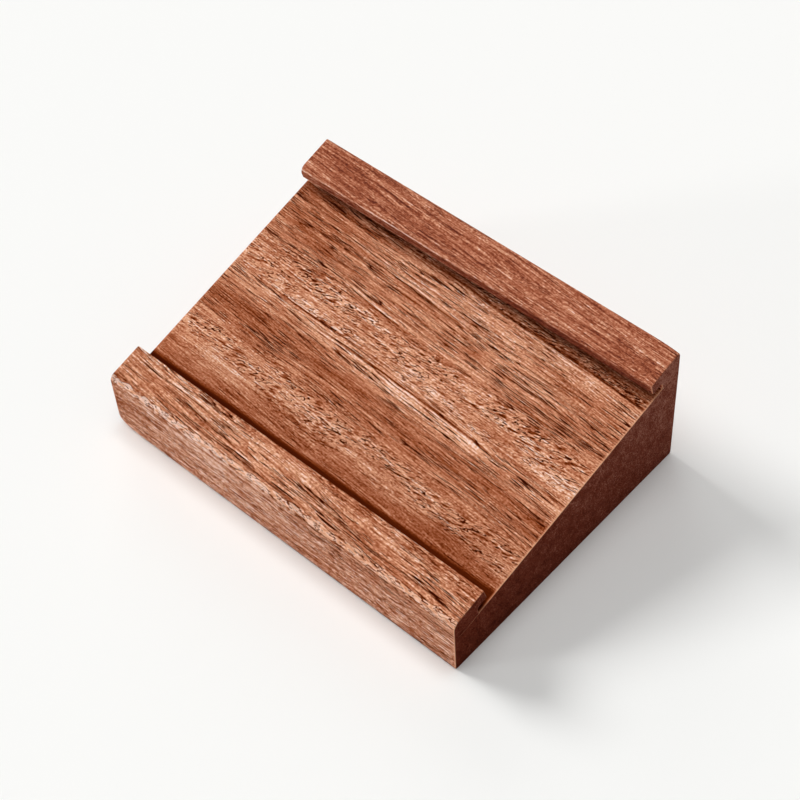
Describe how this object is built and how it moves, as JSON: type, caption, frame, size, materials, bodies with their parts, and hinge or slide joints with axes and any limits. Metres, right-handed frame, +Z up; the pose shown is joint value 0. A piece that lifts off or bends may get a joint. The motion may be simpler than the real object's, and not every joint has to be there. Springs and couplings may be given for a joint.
{
  "type": "table sign holder",
  "caption": "Wooden wedge-shaped table sign holder: a sloping bed between grooved, lipped front and rear rails, under which a flat sign slides in from either open end.",
  "frame": {"origin": "centre of the bounding box, on the face that rests on the table", "axes": "+X along the grooves, +Y from the low front to the high rear, +Z up"},
  "size_m": [0.09, 0.065, 0.031],
  "materials": {
    "base_wood": "sanded open-grained reddish-brown hardwood, bare or thinly oiled",
    "rail_wood": "sanded open-grained reddish-brown hardwood, bare or thinly oiled"
  },
  "bodies": {
    "root": {"base_wedge": "base_wood", "front_rail": "rail_wood", "rear_rail": "rail_wood"}
  },
  "joints": []
}
